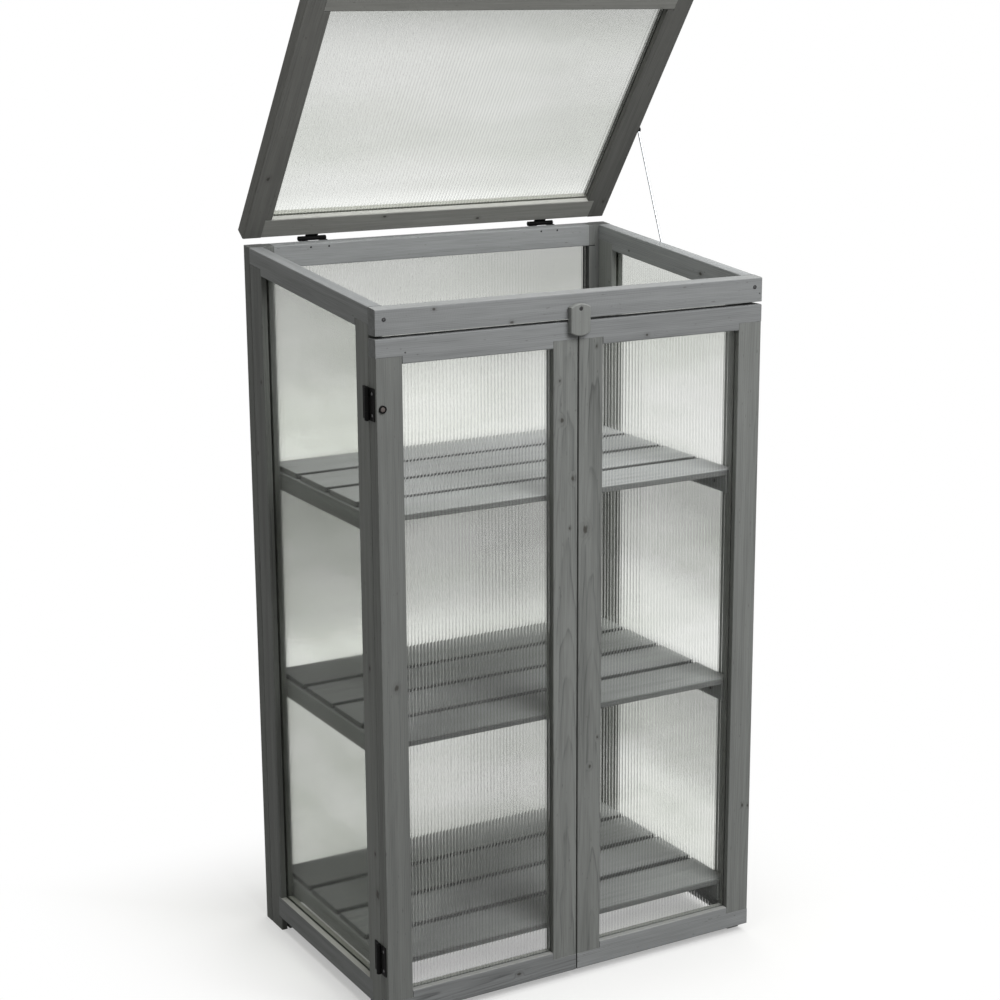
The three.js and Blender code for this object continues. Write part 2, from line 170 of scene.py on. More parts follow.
def vectors(operation, *values):
    """A sum on vectors. A dot product comes back as a number."""
    outputs = fed_node("VectorMath", values, operation=operation)
    return outputs["Value" if operation == "DOT_PRODUCT" else "Vector"]


def split(vector):
    """The three numbers of a vector."""
    return fed_node("SeparateXYZ", [vector])


def mix_colours(share, first, second, way="MIX"):
    """Mixes two colours by a share from 0 to 1."""
    return fed_node("Mix", (share, first, second), (0, 6, 7), data_type="RGBA", blend_type=way)[2]


def ease(value, start, end, low=0.0, high=1.0):
    """Turns a value between start and end into one between low and high, with soft ends."""
    return fed_node("MapRange", (value, start, end, low, high), interpolation_type="SMOOTHSTEP")[0]


def noise(vector, scale=1.0, detail=2.0, output=0):
    """A cloudy pattern. Output 0 is a number, and output 1 a colour."""
    inputs = {"Vector": vector, "Scale": scale, "Detail": detail}
    return add_node(vector.id_data, "TexNoise", inputs).outputs[output]


operations = ("ADD", "SUBTRACT", "MULTIPLY", "MULTIPLY_ADD", "MAXIMUM")
plus, minus, times, times_plus, larger = (partial(sums, operation) for operation in operations)
print("Node helpers are ready")

# %% [markdown]
# ## Studio
#
# The greenhouse stands on a pale floor in a plain white room. Two lamps light it: a large one in
# front on the right, and a soft one above. Their power is worked out from the brightness that a
# white card would have at the object, so a colour renders about as it is written.
#
# The background should look white without throwing more light on the wood. A Light Path node tells
# which rays only look, and those see white, while the rays that carry light see a dimmer room.

# %% Lamps
stage_centre = Vector((0, 0, 0.65))


def add_lamp(name, direction, distance, size, card_level):
    """A square lamp that gives a white card at the centre the level asked for."""
    outwards = Vector(direction).normalized()
    data = bpy.data.lights.new(name, "AREA")
    data.size = size
    data.energy = math.pi ** 2 * card_level * distance ** 2
    lamp = bpy.data.objects.new(name, data)
    bpy.context.scene.collection.objects.link(lamp)
    lamp.location = stage_centre + outwards * distance
    lamp.rotation_euler = outwards.to_track_quat("Z", "Y").to_euler()
    lamp.visible_camera = False
    lamp.visible_transmission = False


add_lamp("key_lamp", direction=(0.14, -0.74, 0.68), distance=4.6, size=2.8, card_level=0.90)
add_lamp("top_lamp", direction=(0.0, 0.1, 1.0), distance=2.8, size=2.4, card_level=0.74)


# %% White room and pale floor
def looking_rays(tree):
    """One for rays from the camera, in a reflection or through glass, and zero for the others."""
    path = add_node(tree, "LightPath").outputs
    looking = plus(path["Is Camera Ray"], path["Is Glossy Ray"])
    return sums("MINIMUM", plus(looking, path["Is Transmission Ray"]), 1.0)


room_light = 0.33
room_colour = (1.0, 1.0, 0.91, 1)
room = bpy.data.worlds.new("white_room")
room.use_nodes = True
tree = room.node_tree
tree.nodes.clear()
dim = add_node(tree, "Background", {"Color": room_colour, "Strength": room_light})
white = add_node(tree, "Background", {"Color": full_white, "Strength": 1.0})
room_mix = add_node(tree, "MixShader", {0: looking_rays(tree), 1: dim.outputs[0], 2: white.outputs[0]})
add_node(tree, "OutputWorld", {"Surface": room_mix.outputs[0]})
bpy.context.scene.world = room

floor_size = 60.0
floor_drop = 0.2 * mm
floor_glow = 0.38
floor_fade = (-0.02, 0.4)
floor_seen = (0.9, 0.9, 0.9, 1)
floor_lit = (0.3, 0.3, 0.3, 1)
bpy.ops.object.select_all(action="DESELECT")
bpy.ops.mesh.primitive_plane_add(size=floor_size, location=(0, 0, -floor_drop))
floor = bpy.context.object
floor.name = "studio_floor"
floor_paint = bpy.data.materials.new("pale_floor")
floor_paint.use_nodes = True
tree = floor_paint.node_tree
tree.nodes.clear()
looking = looking_rays(tree)
spot = add_node(tree, "TexCoord").outputs["Object"]
outside = split(vectors("SUBTRACT", vectors("ABSOLUTE", spot), (width / 2, depth / 2, 0)))
far_off = ease(larger(outside[0], outside[1]), *floor_fade, low=floor_glow)
matt = add_node(tree, "BsdfDiffuse", {"Color": mix_colours(looking, floor_lit, floor_seen)})
glow = add_node(tree, "Emission", {"Color": full_white, "Strength": 1.0})
shaders = {0: times(looking, far_off), 1: matt.outputs[0], 2: glow.outputs[0]}
floor_mix = add_node(tree, "MixShader", shaders)
add_node(tree, "OutputMaterial", {"Surface": floor_mix.outputs[0]})
floor.data.materials.append(floor_paint)
floor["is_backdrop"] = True
print("Floor is", floor_size, "m wide")


# %% [markdown]
# ## Effects that several finishes share
#
# An effect that more than one finish uses is a node group: a small machine with named inputs and
# outputs. Groups here put out only colours, masks and heights. The shader itself stays in the
# material, where an export can read it.

# %% Helper for groups
def new_group(name, inputs, outputs):
    """A node group with named sockets. Returns the group, its entry sockets and its exit sockets."""
    group = bpy.data.node_groups.new(name, "ShaderNodeTree")
    for label, kind, value in inputs:
        socket = group.interface.new_socket(name=label, in_out="INPUT", socket_type="NodeSocket" + kind)
        socket.default_value = value
    for label, kind in outputs:
        group.interface.new_socket(name=label, in_out="OUTPUT", socket_type="NodeSocket" + kind)
    entry = group.nodes.new("NodeGroupInput").outputs
    leave = group.nodes.new("NodeGroupOutput").inputs
    return group, entry, leave


# %% [markdown]
# ### Board grain
#
# A board is cut from a log, so its pattern is a slice through rings round the log's middle. If that
# middle lies beside the board, the rings show as straight lines. If it lies below the face and the
# log tapers, they show as pointed arches. The group therefore works out the distance to the log's
# middle and draws a line at every ring. Fine fibres, stain that took unevenly and a few dark specks
# go on top, and rings flow round the knots. One such solid pattern gives faces, edges and end grain
# at once, which a flat picture could not.

# %% Group: board grain
ring_gap = 2.6 * mm
saw_gap = 2.7 * mm
grain_waver = 5 * mm
nowhere = (9.0, 0.0, mm)
knot_slots = ("Knot 1", "Knot 2", "Knot 3", "Knot 4")
knot_length = 0.7
knot_raggedness = 1.2
knot_core, knot_halo = (1.1, 1.75, 1.0, 0.0), (1.5, 3.2, 0.22, 0.0)
knot_brown = (0.045, 0.042, 0.038, 1)
knot_stain, speck_stain = 0.88, 0.4
early_stain, late_stain, end_stain = 0.2, 0.9, 0.45
fibre_stain, streak_stain, blotch_stain = 0.9, 0.85, 0.6
fibre_relief, late_relief, spot_relief = 0.6, 0.35, 0.5
pale_roughness, stained_roughness = 0.6, 0.76
board_grain, entry, leave = new_group(
    "Board grain",
    [
        ("Place", "Vector", (0, 0, 0)),
        ("Seed", "Float", 0.0),
        ("Log", "Vector", (0, 0.06, 0.03)),
        *((slot, "Vector", nowhere) for slot in knot_slots),
        ("Pale", "Color", (0.25, 0.25, 0.25, 1)),
        ("Dark", "Color", (0.15, 0.15, 0.15, 1)),
        ("End grain", "Float", 0.0),
        ("Saw marks", "Float", 0.0),
    ],
    [("Colour", "Color"), ("Roughness", "Float"), ("Height", "Float")],
)
place = vectors("ADD", entry["Place"], vectors("MULTIPLY", (1.31, 0.77, 0.53), entry["Seed"]))


def stretched(along_grain, across_grain, detail=2.0, output=0):
    """Noise with so many clouds a metre along the grain, and so many across it."""
    stretch = (along_grain, across_grain, across_grain)
    return noise(vectors("MULTIPLY", place, stretch), 1.0, detail, output)


def hypotenuse(first, second):
    """The distance to a point that lies so far away in two directions."""
    return sums("SQRT", plus(times(first, first), times(second, second)))


waver = vectors("SUBTRACT", stretched(5, 22, 3.0, output=1), (0.5, 0.5, 0.5))
wavered = vectors("ADD", entry["Place"], vectors("MULTIPLY", waver, (0, grain_waver, grain_waver)))
along, across, through = split(wavered)
taper, log_across, log_through = split(entry["Log"])
radius = hypotenuse(minus(across, log_across), minus(through, log_through))
radius = times_plus(along, taper, radius)
ragged = times(stretched(130, 280), knot_raggedness)
on_knot = 0.0
for name in knot_slots:
    knot_along, knot_across, knot_radius = split(entry[name])
    aside = times(minus(along, knot_along), knot_length)
    distance = sums("DIVIDE", hypotenuse(aside, minus(across, knot_across)), knot_radius)
    distance = plus(distance, ragged)
    flow = ease(distance, 0.8, 4.0, 1.0, 0.0)
    radius = plus(times(flow, knot_radius), radius)
    for part_of_knot in (knot_core, knot_halo):
        on_knot = larger(on_knot, ease(distance, *part_of_knot))
years = times_plus(stretched(3, 18, 3.0), 3.0, sums("DIVIDE", radius, ring_gap))
season = sums("FRACT", years)
late_wood = times(sums("POWER", season, 6.0), ease(season, 0.9, 1.0, 1.0, 0.0))
late_wood = times(late_wood, ease(stretched(7, 60), 0.35, 0.65, 0.25, 1.0))
fibres = stretched(16, 520, 3.0)
streaks = stretched(2, 110)
blotches = stretched(3.5, 12)
specks = ease(stretched(90, 300, 1.0), 0.72, 0.78)
saw_wave = sums("SINE", times_plus(stretched(8, 40), 30.0, times(along, 2 * math.pi / saw_gap)))
saw_lines = times(times(saw_wave, entry["Saw marks"]), blotches)

share = times_plus(late_wood, late_stain, early_stain)
for unevenness, weight in ((fibres, fibre_stain), (streaks, streak_stain), (blotches, blotch_stain)):
    share = times_plus(minus(unevenness, 0.5), weight, share)
share = plus(times_plus(entry["End grain"], end_stain, share), saw_lines)
share = sums("MINIMUM", larger(share, 0.0), 1.0)
spots = larger(times(on_knot, knot_stain), times(specks, speck_stain))
colour = mix_colours(share, entry["Pale"], entry["Dark"])
feed(leave["Colour"], mix_colours(spots, colour, knot_brown))
feed(leave["Roughness"], times_plus(share, stained_roughness - pale_roughness, pale_roughness))
height = times_plus(fibres, fibre_relief, times(late_wood, late_relief))
feed(leave["Height"], minus(plus(height, saw_lines), times(spots, spot_relief)))
print("Board grain has", len(board_grain.nodes), "nodes")

# %% [markdown]
# ### Worn edges
#
# Stain and paint rub off where hands and pots touch: on edges. On the wood, the paler edge colour also paints
# the highlight that light leaves along the arrises. A Bevel node gives the direction that a surface would
# have if its edges were round. Where it differs from the real direction, an edge is near. Noise breaks that
# line up, because wear is never even.

# %% Group: worn edges
worn_edges, entry, leave = new_group(
    "Worn edges",
    [("Place", "Vector", (0, 0, 0)), ("Width", "Float", 1.5 * mm), ("Patchiness", "Float", 60.0)],
    [("Mask", "Float")],
)
rounded = add_node(worn_edges, "Bevel", {"Radius": entry["Width"]}, samples=4).outputs[0]
facing = add_node(worn_edges, "NewGeometry").outputs["Normal"]
bend = minus(1.0, vectors("DOT_PRODUCT", rounded, facing))
patches = ease(noise(entry["Place"], entry["Patchiness"], 3.0), 0.35, 0.7)
feed(leave["Mask"], times(ease(bend, 0.01, 0.2), patches))
print("Worn edges has", len(worn_edges.nodes), "nodes")

# %% [markdown]
# ### Fine speckle
#
# Paint on pressed steel has a faint orange peel, and zinc and screw steel are never quite even. A
# fine and a coarse noise, put together, serve all of them at different strengths.

# %% Group: fine speckle
smear_scale = 70.0
peel_share = 0.35
fine_speckle, entry, leave = new_group(
    "Fine speckle",
    [("Place", "Vector", (0, 0, 0)), ("Grain", "Float", 900.0)],
    [("Even", "Float"), ("Height", "Float")],
)
peel = noise(entry["Place"], entry["Grain"])
smears = noise(entry["Place"], smear_scale, 3.0)
feed(leave["Even"], times_plus(peel, peel_share, times(smears, 1 - peel_share)))
feed(leave["Height"], peel)
print("Fine speckle has", len(fine_speckle.nodes), "nodes")


# %% [markdown]
# ## Wood
#
# All boards share one stain, but no two boards look alike: each has its own cut from the log, a tone of its
# own and knots of its own. A tone is partly the stain taken a little lighter or darker, and partly painted
# light and shade. So each board gets a material of its own from one function. The function turns the pattern
# so that its X runs along the grain, and centres it on the board.

# %% Helpers for materials
def new_material(name):
    """An empty material, its tree and the output that its shader goes to."""
    material = bpy.data.materials.new(name)
    material.use_nodes = True
    material.node_tree.nodes.clear()
    output = add_node(material.node_tree, "OutputMaterial")
    return material, material.node_tree, output.inputs["Surface"]


def add_group(tree, group, inputs):
    """Places a node group in a tree."""
    node = tree.nodes.new("ShaderNodeGroup")
    node.node_tree = group
    for name, value in inputs.items():
        feed(node.inputs[name], value)
    return node.outputs


def shaded(colour, tone):
    """A colour made lighter or darker, with its alpha left alone."""
    return (*(part * tone for part in colour[:3]), 1)


def finish_node(name, material):
    """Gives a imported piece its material."""
    slots = frame["nodes"][name].data.materials
    slots.clear()
    slots.append(material)


# %% Which way the grain runs on every board
up, right, back = Vector((0, 0, 1)), Vector((1, 0, 0)), Vector((0, 1, 0))
roof_along = Vector((0, math.cos(roof_angle), math.sin(roof_angle)))
roof_across = Vector((0, -math.sin(roof_angle), math.cos(roof_angle)))
lid_turn = lid_frame.to_3x3()
lid_along = lid_turn @ -back
sides = ("left", "right")
tiers = ("bottom", "middle", "top")

grain_ways = {"front_rail": (right, up), "turn_button": (up, right)}
for side in sides:
    for post in ("front_post", "rear_post"):
        grain_ways[f"{side}_{post}"] = (up, back)
    grain_ways[f"{side}_top_rail"] = (roof_along, roof_across)
    grain_ways[f"{side}_bottom_rail"] = (back, up)
    for stile in ("outer_stile", "inner_stile"):
        grain_ways[f"{side}_door_{stile}"] = (up, right)
    for rail in ("top_rail", "bottom_rail"):
        grain_ways[f"{side}_door_{rail}"] = (right, up)
    grain_ways[f"lid_{side}_stile"] = (lid_along, right)
for rail in ("lid_rear_rail", "lid_front_rail"):
    grain_ways[rail] = (right, lid_along)
for tier in tiers:
    for side in sides:
        grain_ways[f"{tier}_bearer_{side}"] = (back, up)
    for number in range(1, 5):
        grain_ways[f"{tier}_slat_{number}"] = (right, back)
print("Boards with their own grain:", len(grain_ways))

# %% [markdown]
# The table of logs says how a board was cut. Its first number is the taper of the log, which draws
# out arches. The other two say where the log's middle lies, across the board and below its face.
# Knots are given where they show on the object. The table of tones makes each board lighter or darker: partly
# the stain that it took, and partly painted light and shade, darker on faces turned away from the lamps. The
# upward faces of the ledge boards are paler from dust and from painted top light, and their table says how
# much. Slats get painted shade along their cut edges for the shade in the gaps between them, and the two
# lower shelves get painted light that grows towards the right.

# %% Cuts, tones and knots
straight_cut = (0.004, 60 * mm, 30 * mm)
flat_cut = (0.018, 5 * mm, 40 * mm)
half_cut = (0.010, 30 * mm, 36 * mm)
soft_rings, bold_rings = 0.66, 0.42
cuts = {
    "left_door_inner_stile": flat_cut,
    "right_door_inner_stile": flat_cut,
    "left_door_bottom_rail": flat_cut,
    "lid_left_stile": half_cut,
    "right_door_outer_stile": half_cut,
    "left_rear_post": half_cut,
}
# Tones hold the stain and painted light and shade: faces turned from the lamps, as on the left side, are
# darker, and the slats and the right top rail are paler.
stain_and_shade_tones = {
    "front_rail": 0.93,
    "left_door_outer_stile": 0.64,
    "left_door_inner_stile": 0.77,
    "right_door_inner_stile": 0.74,
    "right_door_outer_stile": 0.75,
    "left_door_top_rail": 0.90,
    "right_door_top_rail": 0.86,
    "left_door_bottom_rail": 0.80,
    "right_door_bottom_rail": 1.04,
    "left_rear_post": 0.52,
    "left_front_post": 0.76,
    "left_top_rail": 0.95,
    "left_bottom_rail": 0.8,
    "lid_left_stile": 0.60,
    "lid_right_stile": 0.48,
    "lid_rear_rail": 1.03,
    "turn_button": 0.82,
    "right_top_rail": 1.22,
    "top_slat": 1.68,
    "middle_slat": 1.48,
    "bottom_slat": 1.3,
}
# Upward faces are paler, from dust and from painted top light.
dust_and_top_light = {
    "left_bottom_rail": 0.9,
    "right_bottom_rail": 0.9,
    "left_door_bottom_rail": 0.45,
    "right_door_bottom_rail": 0.45,
    "lid_rear_rail": 0.5,
    "front_rail": 0.12,
}
front = -depth / 2
# Knots on a front face: across and height. On a side: x, y and z. On the lid: across and down.
# The last number is a knot's radius, and all are in millimetres.
front_knots = {
    "left_door_inner_stile": [(-34, 1020, 2.4), (-30, 957, 3.6), (-10, 861, 3.2), (-15, 781, 2.2)],
    "right_door_inner_stile": [(34, 1069, 2.4), (14, 775, 5.5), (24, 372, 2.6), (38, 420, 2.0)],
    "right_door_outer_stile": [(334, 240, 2.6), (345, 237, 2.0)],
    "left_door_bottom_rail": [(-111, 34, 3.0)],
    "right_door_top_rail": [(127, 1079, 2.6)],
    "left_door_outer_stile": [(-325, 567, 4.2)],
    "front_rail": [(-119, 1119, 2.6), (-252, 1149, 2.4)],
}
side_knots = {
    "left_front_post": [
        (-350, -202, 592, 2.8), (-350, -208, 286, 3.0), (-350, -214, 218, 6.0), (-350, -240, 783, 2.4),
    ],
    "right_top_rail": [(326, -103, 1146, 3.4), (326, 120, 1160, 1.8)],
    "left_rear_post": [(-350, 212, 854, 3.0), (-350, 189, 978, 2.6)],
}
lid_knots = {
    "lid_rear_rail": [(-98, -40, 2.8), (87, -24, 3.0)],
    "lid_left_stile": [(-333, -138, 3.4)],
    "lid_right_stile": [(337, -45, 3.0)],
}
knots = {}
for name, spots in front_knots.items():
    knots[name] = [((x * mm, front, z * mm), size * mm) for x, z, size in spots]
for name, spots in side_knots.items():
    knots[name] = [((x * mm, y * mm, z * mm), size * mm) for x, y, z, size in spots]
for name, spots in lid_knots.items():
    knots[name] = [(tuple(lid_frame @ Vector((x * mm, y * mm, 0))), size * mm) for x, y, size in spots]

rail_stain = (0.218, 0.225, 0.230, 1)
post_stain = (0.220, 0.228, 0.222, 1)
lid_stain = (0.230, 0.231, 0.220, 1)
slat_stain = (0.202, 0.206, 0.212, 1)
print("Knots placed by hand:", sum(len(spots) for spots in knots.values()))


# %% Material of one board
wax_shine = 0.14
pale_wood = 1.16
# Paler wood edges: rubbed wood and a painted highlight along the arrises.
edge_wear_and_highlight = 0.5
grain_bump, grain_relief = 0.55, 0.35 * mm
seed_shift, seed_reach, seed_stride = 0.137, 0.2, 1.618
rubbed_and_lit_wood = (0.36, 0.365, 0.36, 1)
# Pale colour of upward faces: dust and painted top light.
ledge_dust_and_light = (0.42, 0.42, 0.40, 1)
# Painted shade along the slats' long edges, standing for the shade in the gaps between them.
gap_shade_colour = (0.03, 0.03, 0.031, 1)
gap_shade_width = 5 * mm
gap_edge_shade, shelf_edge_shade = 0.9, 0.6
shelf_edge_limit = front + 60 * mm
# Painted light on the shelves, growing towards the right.
slat_light_fade = {"top": (0.86, 1.05), "middle": (0.53, 1.15), "bottom": (0.6, 1.22)}
saw_marks_on = {"front_rail": 0.16}


def board_pattern(tree, name, grain, across, seed, stain):
    """Lays the grain pattern on one board and returns the pattern's outputs."""
    low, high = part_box(name)
    turn = Matrix((grain, across, grain.cross(across))).transposed()
    centre = (low + high) / 2 + turn @ Vector((seed * seed_shift % seed_reach, 0, 0))
    slat_row = name[:-2]
    tone = stain_and_shade_tones.get(name, stain_and_shade_tones.get(slat_row, 1.0))
    rings = bold_rings if cuts.get(name) is flat_cut else soft_rings
    coordinates = add_node(tree, "TexCoord").outputs
    mapping = {"Vector": coordinates["Object"], "Location": centre, "Rotation": turn.to_euler()}
    facing_end = vectors("DOT_PRODUCT", coordinates["Normal"], tuple(grain))
    inputs = {
        "Place": add_node(tree, "Mapping", mapping, vector_type="TEXTURE").outputs[0],
        "Seed": seed * seed_stride,
        "Log": cuts.get(name, straight_cut),
        "Pale": shaded(stain, pale_wood * tone),
        "Dark": shaded(stain, rings * tone),
        "End grain": ease(sums("ABSOLUTE", facing_end), 0.7, 0.9),
        "Saw marks": saw_marks_on.get(name, 0.0),
    }
    for slot, (spot, size) in zip(knot_slots, knots.get(name, [])):
        on_board = turn.transposed() @ (Vector(spot) - centre)
        inputs[slot] = (on_board.x, on_board.y, size)
    return add_group(tree, board_grain, inputs)


def wood_shader(tree, surface, pattern, dust_and_light=0.0):
    """Puts the pattern on a matt, slightly waxy surface with pale edges, rubbed and with a painted highlight,
    and upward faces paler from dust and painted top light.
    """
    coordinates = add_node(tree, "TexCoord").outputs
    colour = pattern["Colour"]
    if dust_and_light:
        upwards = split(coordinates["Normal"])[2]
        colour = mix_colours(ease(upwards, 0.5, 0.75, 0.0, dust_and_light), colour, ledge_dust_and_light)
    wear = add_group(tree, worn_edges, {"Place": coordinates["Object"]})["Mask"]
    relief = {"Strength": grain_bump, "Distance": grain_relief, "Height": pattern["Height"]}
    inputs = {
        "Base Color": mix_colours(times(wear, edge_wear_and_highlight), colour, rubbed_and_lit_wood),
        "Roughness": pattern["Roughness"],
        "Specular IOR Level": wax_shine,
        "Normal": add_node(tree, "Bump", relief).outputs[0],
    }
    feed(surface, add_node(tree, "BsdfPrincipled", inputs).outputs[0])


def slat_look(tree, name, pattern):
    """The pattern of a slat, with painted shade along its long edges and painted light growing towards the
    right.
    """
    low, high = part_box(name)
    spot = split(add_node(tree, "TexCoord").outputs["Object"])
    front_share = shelf_edge_shade if low.y < shelf_edge_limit else gap_edge_shade
    front_edge = ease(spot[1], low.y, low.y + gap_shade_width, front_share, 0.0)
    rear_edge = ease(spot[1], high.y - gap_shade_width, high.y, 0.0, gap_edge_shade)
    # Painted light, growing towards the right.
    light_fade = ease(spot[0], low.x, high.x, *slat_light_fade[name.split("_")[0]])
    light_faded = mix_colours(1.0, pattern["Colour"], light_fade, "MULTIPLY")
    return {
        "Colour": mix_colours(larger(front_edge, rear_edge), light_faded, gap_shade_colour),
        "Roughness": pattern["Roughness"],
        "Height": pattern["Height"],
    }


for seed, (name, (grain, across)) in enumerate(sorted(grain_ways.items())):
    material, tree, surface = new_material(f"{name}_wood")
    upright = name.endswith(("stile", "post", "button"))
    stain = slat_stain if "slat" in name else post_stain if upright else rail_stain
    stain = lid_stain if name.startswith("lid") else stain
    pattern = board_pattern(tree, name, grain, across, seed, stain)
    if "slat" in name:
        pattern = slat_look(tree, name, pattern)
    wood_shader(tree, surface, pattern, dust_and_top_light.get(name, 0.0))
    finish_node(name, material)
print("Boards finished:", len(grain_ways))

# %% [markdown]
# The rear frame is one glued piece, but it is still made of four boards. Its material lays an upright pattern
# on the stiles and a level one on the rails, and draws the hairline between them. The stiles' stain is
# painted darker, for the shade that they stand in.

# %% Material of the rear frame
rail_seed, stile_seed = 71, 72
# The stiles' stain is darkened: painted shade.
rear_stile_shaded_stain = shaded(post_stain, 0.55)
hairline_width, hairline_share = (0.1 * mm, 0.5 * mm), 0.7
hairline_black = (0.02, 0.02, 0.02, 1)
stile_inside = width / 2 - stile_width
material, tree, surface = new_material("rear_frame_wood")
rail_look = board_pattern(tree, "rear_frame", right, up, rail_seed, rail_stain)
stile_look = board_pattern(tree, "rear_frame", up, right, stile_seed, rear_stile_shaded_stain)
spot = split(add_node(tree, "TexCoord").outputs["Object"])
from_side = minus(sums("ABSOLUTE", spot[0]), stile_inside)
on_stile = sums("GREATER_THAN", from_side, 0.0)
hairline = ease(sums("ABSOLUTE", from_side), *hairline_width, hairline_share, 0.0)
colour = mix_colours(on_stile, rail_look["Colour"], stile_look["Colour"])
heights = (on_stile, rail_look["Height"], stile_look["Height"])
joined = {
    "Colour": mix_colours(hairline, colour, hairline_black),
    "Roughness": rail_look["Roughness"],
    "Height": minus(fed_node("Mix", heights, (0, 2, 3), data_type="FLOAT")[0], hairline),
}
wood_shader(tree, surface, joined)
finish_node("rear_frame", material)
print("Rear frame's stiles start", round(stile_inside, 3), "m from the middle")


# %% [markdown]
# ## Metal
#
# The hinges are pressed steel with black satin paint, which is rubbed to bare steel on its edges.
# The stay is a drawn rod with a bright zinc coat. Screws in the wood are blackened, and those in the
# hinges are worn brighter. They differ in colour, shine and edge wear, but share the fine speckle.

# %% Metal materials
metal_wear = {"Width": 0.6 * mm, "Patchiness": 140.0}
metal_wear_share = 0.75
metal_relief = {"Strength": 0.2, "Distance": 0.05 * mm}


def metal_material(name, colour, metallic, roughness, rubbed=None, gloss=0.2):
    """A metal or painted finish with fine unevenness, and an edge colour if it wears."""
    material, tree, surface = new_material(name)
    place = add_node(tree, "TexCoord").outputs["Object"]
    speckle = add_group(tree, fine_speckle, {"Place": place})
    look = mix_colours(speckle["Even"], shaded(colour, 0.8), shaded(colour, 1.2))
    if rubbed:
        wear = add_group(tree, worn_edges, {"Place": place, **metal_wear})
        look = mix_colours(times(wear["Mask"], metal_wear_share), look, rubbed)
    bump = add_node(tree, "Bump", {"Height": speckle["Height"], **metal_relief})
    low, high = roughness
    inputs = {
        "Base Color": look,
        "Metallic": metallic,
        "Roughness": times_plus(speckle["Even"], high - low, low),
        "Specular IOR Level": gloss,
        "Normal": bump.outputs[0],
    }
    feed(surface, add_node(tree, "BsdfPrincipled", inputs).outputs[0])
    return material


black = (0.004, 0.004, 0.004, 1)
rubbed_black = (0.04, 0.04, 0.04, 1)
zinc = (0.46, 0.48, 0.50, 1)
dark_steel = (0.045, 0.045, 0.046, 1)
worn_steel = shaded(dark_steel, 2.4)
bare_steel = (0.3, 0.3, 0.3, 1)
hinge_paint = metal_material("black_satin_paint", black, 0.0, (0.5, 0.75), rubbed_black, gloss=0.06)
zinc_coat = metal_material("bright_zinc", zinc, 1.0, (0.2, 0.4), gloss=0.5)
screw_steel = metal_material("blackened_steel", dark_steel, 0.7, (0.3, 0.55), bare_steel)
hinge_screw_steel = metal_material("worn_black_zinc", worn_steel, 0.9, (0.25, 0.45), bare_steel)
levels = ("upper", "lower")
hinges = {f"{side}_{level}_hinge": ("post", "door") for side in sides for level in levels}
hinges.update({f"lid_{side}_hinge": ("frame", "lid") for side in sides})
for hinge, leaves in hinges.items():
    for leaf in leaves:
        finish_node(f"{hinge}_{leaf}_leaf", hinge_paint)
finish_node("stay", zinc_coat)
print("Hinges painted:", len(hinges))

# %% [markdown]
# ## Panes
#
# The panes are twin-wall sheet: two thin walls, 4 mm apart outside, with a rib between them every
# 6 mm. Each channel has round corners, which act as small lenses and draw the upright lines that
# make things behind the sheet look combed.
#
# One channel's end is modelled by hand: a rectangle with rounded corners and slightly bellied walls
# inside a plain one, with the ring between them filled. An Array modifier repeats it across the
# sheet, and one extrusion along the flutes turns it into a real hollow sheet. A flat slab with a
# bump pattern would be quicker, but it can't bend what lies behind it.

# %% Helpers for modelling
squarely = 0.9


def mode(name):
    """Goes into or out of edit mode."""
    bpy.ops.object.mode_set(mode=name)


def take(piece):
    """Makes one piece the only one selected, and the active one."""
    bpy.ops.object.select_all(action="DESELECT")
    piece.select_set(True)
    bpy.context.view_layer.objects.active = piece


def start(primitive, name, **sizes):
    """Adds a primitive under a name, with nothing else selected."""
    bpy.ops.object.select_all(action="DESELECT")
    getattr(bpy.ops.mesh, primitive)(**sizes)
    piece = bpy.context.object
    piece.name = name
    return piece


def pick(kind, parts, test):
    """In edit mode, selects the faces or points that pass a test and nothing else."""
    bpy.ops.mesh.select_mode(type=kind)
    bpy.ops.mesh.select_all(action="DESELECT")
    mode("OBJECT")
    for part in parts:
        part.select = test(part)
    mode("EDIT")


def pick_faces(piece, way):
    """Picks the faces that look one way."""
    pick("FACE", piece.data.polygons, lambda face: face.normal.dot(way) > squarely)


def pick_points(piece, test):
    """Picks the points whose place passes a test."""
    pick("VERT", piece.data.vertices, lambda point: test(point.co))


def inset(piece, way, *steps):
    """Insets the faces that look one way, step by step. A step is a width and a height in mm."""
    mode("EDIT")
    pick_faces(piece, way)
    for across_step, up_step in steps:
        bpy.ops.mesh.inset(thickness=across_step * mm, depth=up_step * mm)
    mode("OBJECT")


def settle(piece):
    """Moves a piece's place, turn and scale into its mesh."""
    take(piece)
    bpy.ops.object.transform_apply(location=True, rotation=True, scale=True)


def smooth(piece, degrees):
    """Shades a piece smooth, but for edges that bend more than an angle."""
    take(piece)
    bpy.ops.object.shade_smooth_by_angle(angle=math.radians(degrees))


def carve(piece, tool):
    """Cuts the shape of one piece out of another, and throws the tool away."""
    take(piece)
    cut = piece.modifiers.new("cut", "BOOLEAN")
    cut.operation = "DIFFERENCE"
    cut.solver = "EXACT"
    cut.object = tool
    bpy.ops.object.modifier_apply(modifier=cut.name)
    bpy.data.objects.remove(tool)


def twin(piece, name):
    """A copy of a piece with a mesh of its own."""
    copy = piece.copy()
    copy.data = piece.data.copy()
    copy.name = name
    bpy.context.scene.collection.objects.link(copy)
    return copy


def stand(place, outwards):
    """The place and turn of a small part whose own Z is to point outwards."""
    return Matrix.Translation(place) @ Vector(outwards).to_track_quat("Z", "Y").to_matrix().to_4x4()


# %% The end of one channel
flute_pitch = 6 * mm
sheet_thickness = 4 * mm
wall = 0.5 * mm
channel_corner = 0.28 * mm
belly = 0.025
belly_steps = 3
hair = 0.01 * mm
channel_width = flute_pitch - wall
channel_depth = sheet_thickness - 2 * wall
flat_half = channel_width / 2 - channel_corner

